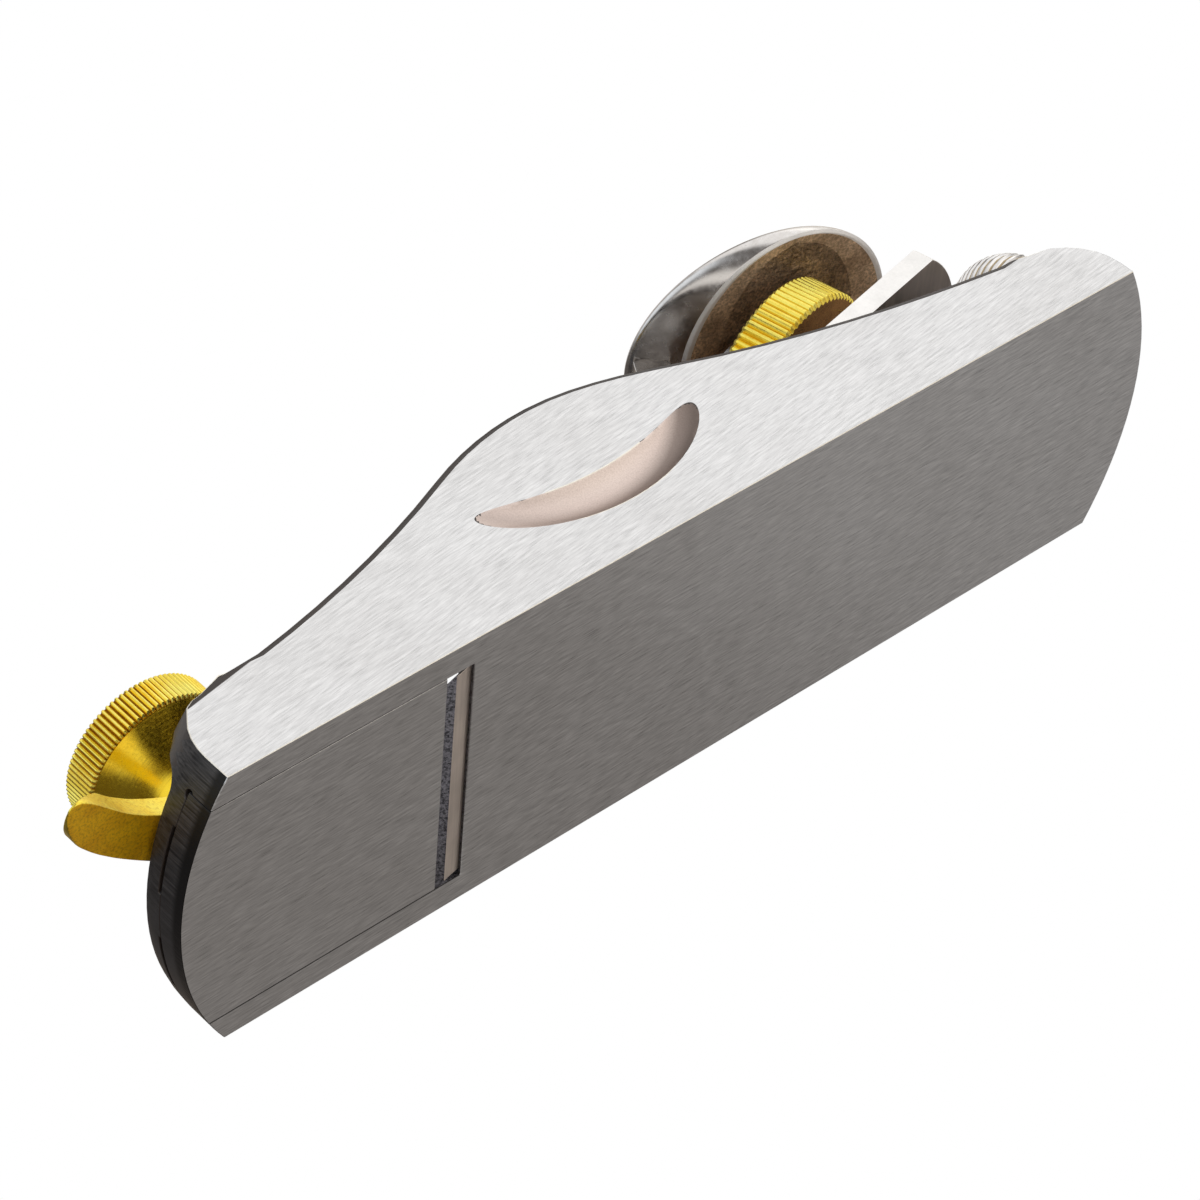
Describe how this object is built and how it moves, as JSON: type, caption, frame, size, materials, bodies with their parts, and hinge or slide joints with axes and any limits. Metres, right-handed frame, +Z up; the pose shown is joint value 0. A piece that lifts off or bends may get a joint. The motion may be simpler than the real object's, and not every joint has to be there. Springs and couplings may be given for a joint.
{
  "type": "low angle block plane",
  "caption": "Low angle block plane with ground sole, sliding toe plate with brass lever and knob, domed lever cap, spin wheel and screw depth adjuster.",
  "frame": {"origin": "middle of the flat sole, half way between the corners at the toe and at the heel", "axes": "+X along the sole from toe to heel, +Y to the side away from the pictured cheek, +Z up from the sole"},
  "size_m": [0.1745, 0.0444, 0.0444],
  "materials": {
    "cast_iron": "ground sole and cheeks, painted inside",
    "tool_steel": "surface ground",
    "satin_chrome": "satin",
    "steel": "turned",
    "polished_steel": "polished",
    "black_steel": "blackened",
    "brass": "turned and knurled",
    "bronze": "plain"
  },
  "bodies": {
    "plane_body": {"body": "cast_iron", "cap_screw": "steel", "adjuster_bush": "bronze", "thrust_washer": "bronze"},
    "toe": {"toe_plate": "cast_iron", "front_stud": "steel", "knob_washer": "steel"},
    "lever": {"eccentric_lever": "brass"},
    "knob": {"front_knob": "brass"},
    "blade": {"blade": "tool_steel"},
    "cap": {"lever_cap": "satin_chrome"},
    "pad": {"thrust_pad": "bronze"},
    "wheel": {"spin_wheel": "brass", "spindle": "steel"},
    "adjuster": {"adjusting_screw": "steel", "adjuster_knob": "polished_steel", "knob_set_screw": "black_steel", "retaining_ring": "steel"},
    "carriage": {"adjuster_carriage": "bronze", "carriage_dog": "steel"}
  },
  "joints": [
    {"name": "toe_plate_slide", "type": "slide", "parent": "plane_body", "child": "toe", "axis": [1, 0, 0], "range_m": [-0.002, 0.0002]},
    {"name": "mouth_lever", "type": "hinge", "parent": "toe", "child": "lever", "pos_m": [-0.0667, 0, 0.0098], "axis": [0, 0, 1], "range_deg": [-80.1, 8.1]},
    {"name": "front_knob_turn", "type": "hinge", "parent": "toe", "child": "knob", "pos_m": [-0.0667, 0, 0.02], "axis": [0, 0, 1], "range_deg": [0, 180]},
    {"name": "adjuster_turn", "type": "hinge", "parent": "plane_body", "child": "adjuster", "pos_m": [0.05781, 0, 0.0161], "axis": [0.9781, 0, 0.2079], "range_deg": [-181, 1441]},
    {"name": "carriage_slide", "type": "slide", "parent": "plane_body", "child": "carriage", "axis": [0.9781, 0, 0.2079], "range_m": [-0.0004, 0.0032]},
    {"name": "blade_slide", "type": "slide", "parent": "plane_body", "child": "blade", "axis": [0.9781, 0, 0.2079], "range_m": [-0.00041, 0.00321]},
    {"name": "cap_slide", "type": "slide", "parent": "plane_body", "child": "cap", "axis": [0.9781, 0, 0.2079], "range_m": [0, 0.008]},
    {"name": "pad_lift", "type": "slide", "parent": "cap", "child": "pad", "axis": [-0.2079, 0, 0.9781], "range_m": [0, 0.0005]},
    {"name": "spin_wheel_turn", "type": "hinge", "parent": "pad", "child": "wheel", "pos_m": [0.04222, 0, 0.02996], "axis": [-0.2079, 0, 0.9781], "range_deg": [0, 180.2]}
  ],
  "couplings": [
    {"joint": "mouth_lever", "follows": "toe_plate_slide", "rad_per_m": 698.13},
    {"joint": "adjuster_turn", "follows": "carriage_slide", "rad_per_m": 7854},
    {"joint": "blade_slide", "follows": "carriage_slide", "ratio": 1},
    {"joint": "spin_wheel_turn", "follows": "pad_lift", "rad_per_m": 6283.2}
  ]
}
